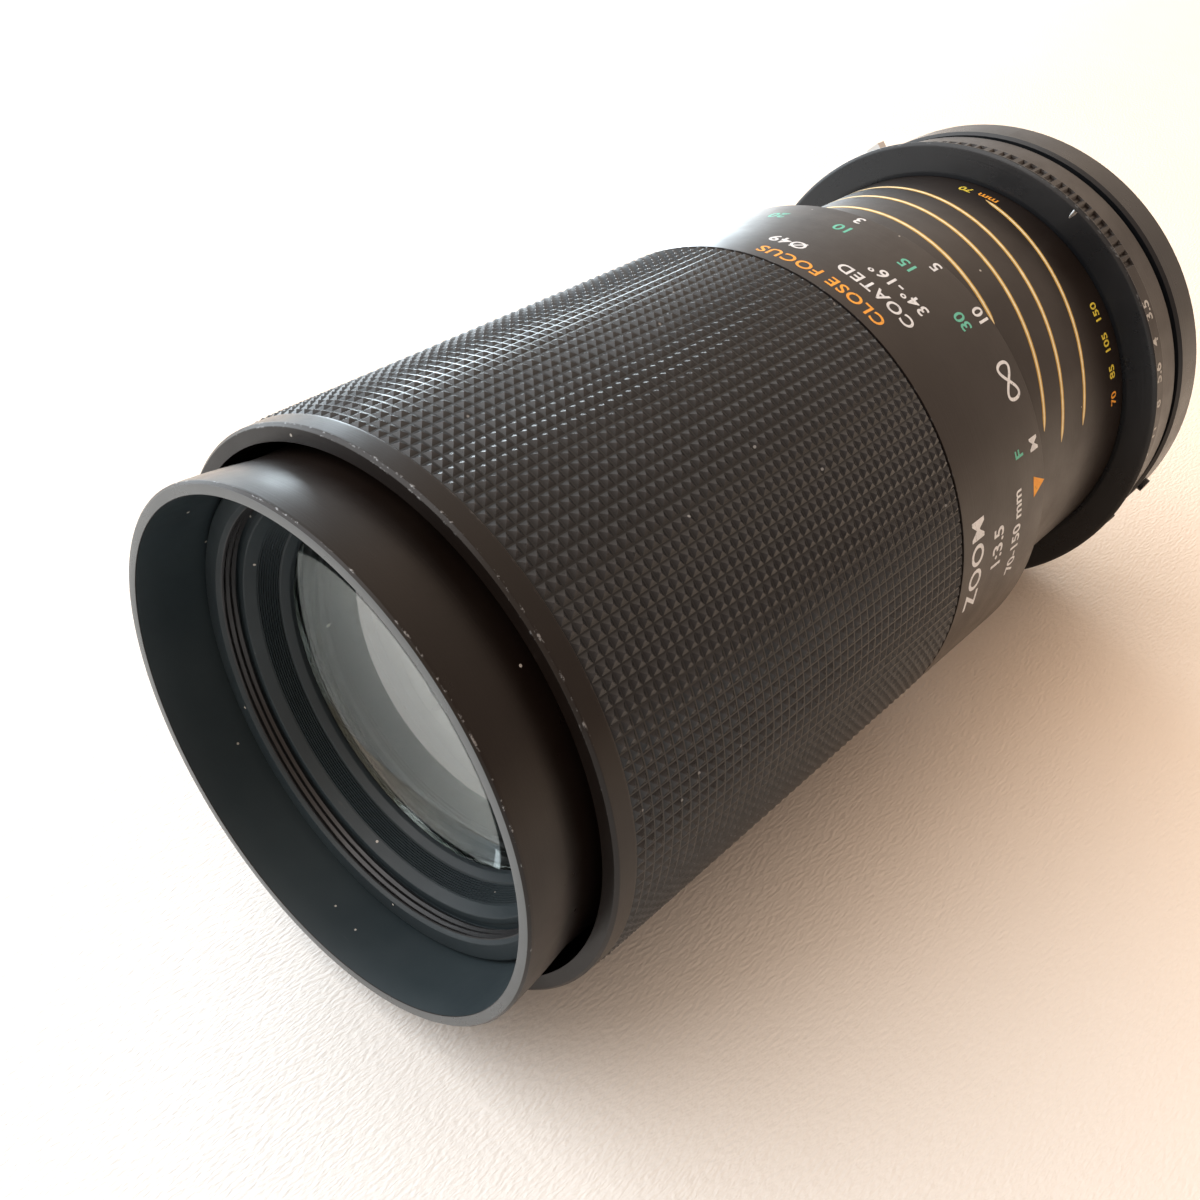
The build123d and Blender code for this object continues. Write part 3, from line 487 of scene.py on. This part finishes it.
def lensBody(name, radius, y0, frontBulge, y1, rearBulge, body, node):
    # a ground glass between two vertices; bulge is how far the rim lies behind the vertex
    def face(y, bulge):
        if abs(bulge) < 0.01:
            return [(radius * k / 14, y) for k in range(15)]
        curve = (radius ** 2 + bulge ** 2) / (2 * bulge)
        points = []
        for k in range(25):
            r = radius * k / 24
            points.append((r, y + curve - (1 if curve > 0 else -1) * sqrt(curve ** 2 - r ** 2)))
        return points
    front = face(y0, frontBulge)
    rear = face(y1, rearBulge)
    outline = front + rear[::-1]
    outline[0] = (0.0001, outline[0][1])
    outline[-1] = (0.0001, outline[-1][1])
    piece = lathe(name, outline, steps=160, raw=True, angle=40)
    return fit(piece, body, "coated_glass", node)


lensBody("frontGlass", 21.5, -116.7, 2.95, -108.7, -1.9, "focus_grip", "front_element")
print("front cell made")


ring = {"front": -120.1, "rear": -117.5, "bore": 29.3, "radius": 31.1}
gripRing = lathe("gripRing", [
    (ring["bore"], ring["front"], 0.10),
    (ring["radius"] - 0.32, ring["front"], 0.05, 0.5),
    (ring["radius"], ring["front"] + 0.32, 0.07, 0.9),
    (ring["radius"], ring["rear"], 0.12, 0.2),
    (ring["bore"], ring["rear"], 0.05),
], steps=320)
fit(gripRing, "focus_grip", "grip_metal", "grip_front_ring")

grip = {"front": -117.48, "rear": -62.52, "inside": 30.3, "valley": 30.98, "top": 31.25, "around": 147, "rows": 44,
        "groove": 0.06, "slope": 0.40}


def pyramidGrip():
    # rows of small pyramids with square grooves between them
    foot = grip["groove"]
    cuts = (0.0, foot, foot + grip["slope"], 1 - foot - grip["slope"], 1 - foot)
    length = grip["rear"] - grip["front"]

    def rise(share):
        away = min(share, 1 - share)
        return min(max((away - foot) / grip["slope"], 0.0), 1.0)

    stations = []
    for row in range(grip["rows"]):
        stations += [(row + c) / grip["rows"] for c in cuts]
    stations.append(1.0)
    turns = []
    for k in range(grip["around"]):
        turns += [(k + c) / grip["around"] for c in cuts]
    verts = []
    wears = []
    for t in turns:
        a = 2 * pi * t
        across = rise(t * grip["around"] % 1.0)
        sa, ca = sin(a) * mm, cos(a) * mm
        verts.append((grip["inside"] * sa, grip["front"] * mm, grip["inside"] * ca))
        wears.append(0.0)
        for s in stations:
            along = rise(min(s * grip["rows"], grip["rows"] - 1e-6) % 1.0) if 0 < s < 1 else 0.0
            up = min(across, along)
            r = grip["valley"] + (grip["top"] - grip["valley"]) * up
            verts.append((r * sa, (grip["front"] + length * s) * mm, r * ca))
            wears.append(1.0 if up > 0.99 else 0.0)
        verts.append((grip["inside"] * sa, grip["rear"] * mm, grip["inside"] * ca))
        wears.append(0.0)
    n = len(stations) + 2
    columns = len(turns)
    faces = []
    for c in range(columns):
        d = (c + 1) % columns
        for i in range(n):
            j = (i + 1) % n
            corners = (c * n + i, d * n + i, d * n + j, c * n + j)
            tall = [wears[v] for v in corners]
            if sum(tall) == 1:  # split along the ridge that climbs to the top
                k = tall.index(1.0)
                faces.append((corners[k], corners[(k + 1) % 4], corners[(k + 2) % 4]))
                faces.append((corners[k], corners[(k + 2) % 4], corners[(k + 3) % 4]))
            else:
                faces.append(corners)
    return meshPiece("rubberGrip", verts, faces, wears, 18, tidy=False)


rubberGrip = pyramidGrip()
fit(rubberGrip, "focus_grip", "grip_rubber", "rubber_grip")

sleeve = {"radius": 31.15, "bore": 28.35, "front": -62.5, "rear": -43.7}
scaleSleeve = lathe("scaleSleeve", [
    (29.50, sleeve["front"], 0.05),
    (sleeve["radius"], sleeve["front"], 0.05, 0.3),
    (sleeve["radius"], sleeve["rear"] - 0.3, 0.06),
    (sleeve["radius"] - 0.3, sleeve["rear"], 0.08, 0.7),
    (sleeve["bore"], sleeve["rear"], 0.08, 0.3),
    (sleeve["bore"], sleeve["rear"] - 0.25, 0.05),
    (29.50, sleeve["rear"] - 0.25, 0.05),
], steps=320)
fit(scaleSleeve, "focus_grip", "barrel_black", "scale_sleeve")

sleeveWords = [  # text, size, station, angle, ink, spacing
    ("CLOSE FOCUS", 2.5, -60.1, 14.5, "orange", 1.12),
    ("COATED", 2.5, -56.5, 24.0, "white", 1.15),
    ("Ø49", 2.5, -56.5, 1.0, "white", 1.1),
    ("34°-16°", 2.5, -53.1, 25.5, "white", 1.1),
    ("10", 2.5, -48.6, 4.9, "green", 1.0),
    ("15", 2.5, -48.6, 21.8, "green", 1.0),
    ("30", 2.5, -48.6, 38.3, "green", 1.0),
    ("F", 2.4, -49.0, 68.6, "green", 1.0),
    ("3", 2.5, -45.2, 4.8, "white", 1.0),
    ("5", 2.5, -45.2, 25.2, "white", 1.0),
    ("10", 2.5, -45.2, 39.3, "white", 1.0),
    ("M", 2.4, -45.6, 68.6, "white", 1.0),
    ("1:3.5", 3.0, -54.5, 86.0, "white", 1.0),
    ("70-150 mm", 2.4, -50.2, 86.0, "white", 1.0),
    ("ZOOM", 3.6, -59.2, 86.0, "white", 1.15),
    ("20", 2.5, -48.6, -12.0, "green", 1.0),
    ("7", 2.5, -48.6, -34.0, "green", 1.0),
    ("5", 2.5, -48.6, -62.0, "green", 1.0),
    ("2", 2.5, -45.2, -34.5, "white", 1.0),
    ("1.5", 2.5, -45.2, -62.5, "white", 1.0),
]
sleeveText = {}
for k, (text, size, station, angle, ink, spread) in enumerate(sleeveWords):
    piece = words(f"sleeveWord{k}", text, size, sleeve["radius"], station, angle, spread=spread)
    sleeveText.setdefault(ink, []).append(piece)
for ink, parts in sleeveText.items():
    fit(joined(f"sleeveText{ink.capitalize()}", parts), "focus_grip", "barrel_black", finish=inks[ink])


def patchOn(name, corners, radius):
    # a small filled shape from (angle, station) corners
    verts = []
    r = radius + 0.03
    for angle, station in corners:
        a = radians(angle)
        verts.append((r * sin(a) * mm, station * mm, r * cos(a) * mm))
    return meshPiece(name, verts, [tuple(range(len(corners)))], None, 30, tidy=False)


infinity = {"wide": 4.4, "tall": 2.2, "stroke": 0.42, "station": -46.8, "angle": 53.8, "steps": 48}


def infinityMark(name, radius):
    # a band along a figure of eight
    wide, tall, stroke, steps = infinity["wide"], infinity["tall"], infinity["stroke"], infinity["steps"]
    verts = []
    for k in range(steps):
        t = 2 * pi * k / steps
        u, v = wide / 2 * cos(t), tall / 2 * sin(2 * t)
        du, dv = -wide / 2 * sin(t), tall * cos(2 * t)
        size = sqrt(du * du + dv * dv)
        for side in (-0.5, 0.5):
            a = radians(infinity["angle"]) - (u - dv / size * side * stroke) / radius
            y = infinity["station"] - (v + du / size * side * stroke)
            r = radius + 0.012 + 0.004 * (k < steps / 2)
            verts.append((r * sin(a) * mm, y * mm, r * cos(a) * mm))
    faces = [(2 * k, 2 * k + 1, (2 * k + 3) % (2 * steps), (2 * k + 2) % (2 * steps)) for k in range(steps)]
    return meshPiece(name, verts, faces, None, 30, tidy=False)


farMark = infinityMark("farMark", sleeve["radius"])
fit(farMark, "focus_grip", "barrel_black", finish=inks["white"])
marker = patchOn("indexMark", [(78.0, -43.95), (75.6, -46.5), (80.4, -46.5)], sleeve["radius"])
fit(marker, "focus_grip", "barrel_black", finish=inks["orange"])
print("grip made")


barrel = {"radius": 28.0, "bore": 26.6, "front": -61.82, "rear": -4.2, "lineWidth": 0.78, "slope": 0.1205}
barrelTube = lathe("barrelTube", [
    (barrel["bore"], barrel["front"], 0.05),
    (barrel["radius"], barrel["front"], 0.15),
    (barrel["radius"], barrel["rear"], 0.05),
    (barrel["bore"], barrel["rear"], 0.05),
], steps=256)
fit(barrelTube, "rear_barrel", "barrel_black", "fixed_barrel")


def helixLine(name, station, first, last, width, lift=0.012):
    # a band that climbs towards the front as its angle grows
    steps = max(8, int(abs(last - first)))
    verts = []
    for k in range(steps + 1):
        angle = first + (last - first) * k / steps
        a = radians(angle)
        y = station - barrel["slope"] * (angle - 10.6)
        taper = min(1.0, (k + 0.6) / 3, (steps - k + 0.6) / 3)
        r = barrel["radius"] + lift
        for side in (-0.5, 0.5):
            verts.append((r * sin(a) * mm, (y + side * width * taper) * mm, r * cos(a) * mm))
    faces = [(2 * k, 2 * k + 1, 2 * k + 3, 2 * k + 2) for k in range(steps)]
    return meshPiece(name, verts, faces, None, 30, tidy=False)


# station, first angle and last angle of each line
lineRuns = [(-35.36, -78, 42), (-29.80, -78, 72), (-24.98, -60, 78), (-19.13, 11, 78)]
lines = [helixLine(f"zoomLine{k}", y, a, b, barrel["lineWidth"]) for k, (y, a, b) in enumerate(lineRuns)]
fit(joined("zoomLines", lines), "rear_barrel", "barrel_black", finish=inks["gold"])
# a thin cream band down the middle of each gold line: a painted highlight
lineHighlights = [helixLine(f"zoomHighlight{k}", y, a, b, barrel["lineWidth"] * 0.38, lift=0.02) for k, (y, a, b) in enumerate(lineRuns)]
fit(joined("zoomHighlights", lineHighlights), "rear_barrel", "barrel_black", finish=inks["cream"])
barrelWords = [  # text, size, station, angle, ink
    ("70", 1.9, -18.3, 4.0, "yellow"), ("mm", 1.9, -18.3, 10.6, "orange"),
    ("150", 1.9, -18.3, 53.5, "yellow"), ("105", 1.9, -18.3, 62.0, "yellow"),
    ("85", 1.9, -18.3, 69.8, "yellow"), ("70", 1.9, -18.3, 77.2, "orange"),
]
barrelText = {}
for k, (text, size, station, angle, ink) in enumerate(barrelWords):
    barrelText.setdefault(ink, []).append(words(f"barrelWord{k}", text, size, barrel["radius"], station, angle))
for ink, parts in barrelText.items():
    fit(joined(f"barrelText{ink.capitalize()}", parts), "rear_barrel", "barrel_black", finish=inks[ink])
print("barrel made")


collar = {"front": -15.8, "rear": -14.7, "bore": 28.02, "radius": 32.3}
collarRing = lathe("collarRing", [
    (collar["bore"], collar["front"], 0.03),
    (collar["bore"] + 0.58, collar["front"], 0.10),
    (collar["radius"] - 0.4, collar["front"] + 0.5, 0.25),
    (collar["radius"], collar["front"] + 0.7, 0.10, 0.4),
    (collar["radius"], collar["rear"] - 0.15, 0.08),
    (collar["radius"] - 0.2, collar["rear"], 0.08),
    (collar["bore"], collar["rear"], 0.03),
], steps=320)
fit(collarRing, "rear_barrel", "ring_black", "collar")

stopRing = {"front": -14.4, "groove": -6.6, "rear": -5.7, "bore": 28.05, "radius": 31.6, "hub": 30.5}
ribs = {"count": 132, "depth": 0.34, "from": -14.15, "to": -11.5, "arcs": ((-32, 49), (136, 216))}


def ribbed(r, y, a):
    # square ribs over two arcs of the ring's front band
    angle = (degrees(a) + 90) % 360 - 90
    inArc = any(low < angle < high for low, high in ribs["arcs"])
    if inArc and r > 31.5 and ribs["from"] < y < ribs["to"]:
        share = (a / (2 * pi) * ribs["count"]) % 1.0
        if share < 0.49:
            r -= ribs["depth"]
    return r, y


apertureRing = lathe("apertureRing", [
    (stopRing["bore"], stopRing["front"], 0.03),
    (stopRing["radius"] - 0.3, stopRing["front"], 0.06),
    (stopRing["radius"], stopRing["front"] + 0.3, 0.06, 0.3),
    (stopRing["radius"], -11.9, 0.04),
    (stopRing["radius"], -11.4, 0.06, 0.2),
    (stopRing["radius"] - 0.25, -11.1, 0.05),
    (stopRing["radius"] - 0.4, -6.9, 0.06),
    (stopRing["radius"] - 0.7, stopRing["groove"], 0.06, 0.4),
    (stopRing["hub"], stopRing["groove"], 0.03),
    (stopRing["hub"], stopRing["rear"], 0.03),
    (stopRing["bore"], stopRing["rear"], 0.03),
], steps=ribs["count"] * 4, bend=ribbed, angle=28)
tab = {"front": -10.0, "rear": -7.8, "foot": 30.6, "top": 32.3, "start": 120.25, "sweep": 3.5}
stopTab = lathe("stopTab", [
    (tab["foot"], tab["front"], 0.05),
    (tab["top"], tab["front"], 0.25, 0.5),
    (tab["top"], tab["rear"], 0.25, 0.5),
    (tab["foot"], tab["rear"], 0.05),
], steps=12, start=tab["start"], sweep=tab["sweep"], angle=40)
fit(joined("apertureRing", [apertureRing, stopTab]), "aperture", "ring_black", "aperture_ring", finish=finishes["barrel_black"])

stops = {"numbers": ("3.5", "4", "5.6", "8", "11", "16", "22", "32"), "first": 58.5, "turn": 54.0,
         "size": 2.3, "station": -12.8}
gap = stops["turn"] / (len(stops["numbers"]) - 1)
stopWords = []
for k, text in enumerate(stops["numbers"]):
    stopWords.append(words(f"stopWord{k}", text, stops["size"], stopRing["radius"], stops["station"], stops["first"] + gap * k))
fit(joined("stopNumbers", stopWords), "aperture", "ring_black", finish=inks["grey"])

# the mount keeps its CAD shapes, with softened edges
eased(0.12, "mount_ring", "release_lever", "bayonet_throat", "stop_down_lever", "index_button")
eased(0.05, "mount_screws", "rear_baffle", "rear_lock_ring")
print("rings made")


floor = {"level": -32.35, "half": 3.0, "cells": 60}  # half is in metres
groundVerts = []
groundFaces = []
row = floor["cells"] + 1
for i in range(row):
    for j in range(row):
        x = floor["half"] * (i / floor["cells"] - 0.5) * 2
        y = floor["half"] * (j / floor["cells"] - 0.5) * 2
        groundVerts.append((x, y, floor["level"] * mm))
        if i < floor["cells"] and j < floor["cells"]:
            groundFaces.append((i * row + j, (i + 1) * row + j, (i + 1) * row + j + 1, i * row + j + 1))
ground = meshPiece("ground", groundVerts, groundFaces, tidy=False)

cloth = Finish("paleCloth")
# cool near the front, warmer towards the back: painted light, the cool tint of the window light in front and the warm
# tint of the room light and shade towards the back
weave = cloth.noise(1.0, 2.0, 0.5, cloth.stretched(cloth.where, (2600, 900, 900)))
warm = cloth.ramp(cloth.noise(3.0, 3.0), 0.35, 0.65)
side = cloth.ramp(cloth.node("ShaderNodeSeparateXYZ", Vector=cloth.where).outputs[1], -0.15, -0.03)
cool = cloth.mix(warm, (0.70, 0.74, 0.76, 1), (0.74, 0.77, 0.78, 1))
peach = cloth.mix(warm, (0.86, 0.73, 0.60, 1), (0.88, 0.76, 0.64, 1))
cloth.put(cloth.shader, "Base Color", cloth.mix(side, cool, peach))
cloth.put(cloth.shader, "Roughness", cloth.blend(weave, 0.75, 0.95))
cloth.bump(cloth.calc("ADD", weave, cloth.calc("MULTIPLY", cloth.noise(14.0, 3.0), 6.0)), 0.3, 0.0006)
ground.data.materials.append(cloth.material)


def softLight(name, place, target, size, power, colour):
    data = bpy.data.lights.new(name, "AREA")
    data.shape = "RECTANGLE"
    data.size, data.size_y = size
    data.energy = power
    data.color = colour
    lamp = bpy.data.objects.new(name, data)
    bpy.context.collection.objects.link(lamp)
    lamp.location = place
    lamp.rotation_euler = (Vector(target) - Vector(place)).to_track_quat("-Z", "Y").to_euler()
    return lamp


softLight("windowLight", (-0.50, -0.48, 0.60), (0, -0.08, 0), (1.3, 1.0), 10.0, (0.97, 0.98, 1.0))
softLight("lowLight", (-0.63, 0.46, 0.13), (0, -0.09, 0.03), (0.26, 0.28), 3.6, (0.80, 0.92, 1.0))
softLight("sideLight", (-0.8, -0.12, 0.14), (0, -0.08, 0), (0.9, 0.25), 2.5, (0.86, 0.94, 1.0))

world = bpy.data.worlds.new("room")
bpy.context.scene.world = world
world.use_nodes = True
tree = world.node_tree
tree.nodes.clear()
worldOut = tree.nodes.new("ShaderNodeOutputWorld")
sky = tree.nodes.new("ShaderNodeBackground")
coords = tree.nodes.new("ShaderNodeTexCoord")
split = tree.nodes.new("ShaderNodeSeparateXYZ")
ramp = tree.nodes.new("ShaderNodeValToRGB")
shift = tree.nodes.new("ShaderNodeMapRange")
shift.inputs["From Min"].default_value = -1.0
tree.links.new(coords.outputs["Generated"], split.inputs[0])
tree.links.new(split.outputs[0], shift.inputs[0])
tree.links.new(shift.outputs[0], ramp.inputs[0])
ramp.color_ramp.elements[0].color = (0.80, 0.92, 1.0, 1)
ramp.color_ramp.elements[1].color = (0.38, 0.27, 0.21, 1)
middle = ramp.color_ramp.elements.new(0.45)
middle.color = (1.0, 0.80, 0.64, 1)
tree.links.new(ramp.outputs[0], sky.inputs[0])
sky.inputs[1].default_value = 1.3
tree.links.new(sky.outputs[0], worldOut.inputs[0])

cameraData = bpy.data.cameras.new("camera")
cameraData.lens = 40.48
cameraData.sensor_width = 36.0
camera = bpy.data.objects.new("camera", cameraData)
bpy.context.collection.objects.link(camera)
camera.location = (0.08343, -0.18049, 0.08636)
camera.rotation_euler = (radians(54.61), 0, radians(41.98))
cameraData.clip_start = 0.01
bpy.context.scene.camera = camera
bpy.context.scene.view_settings.view_transform = "Standard"
print("scene lit")
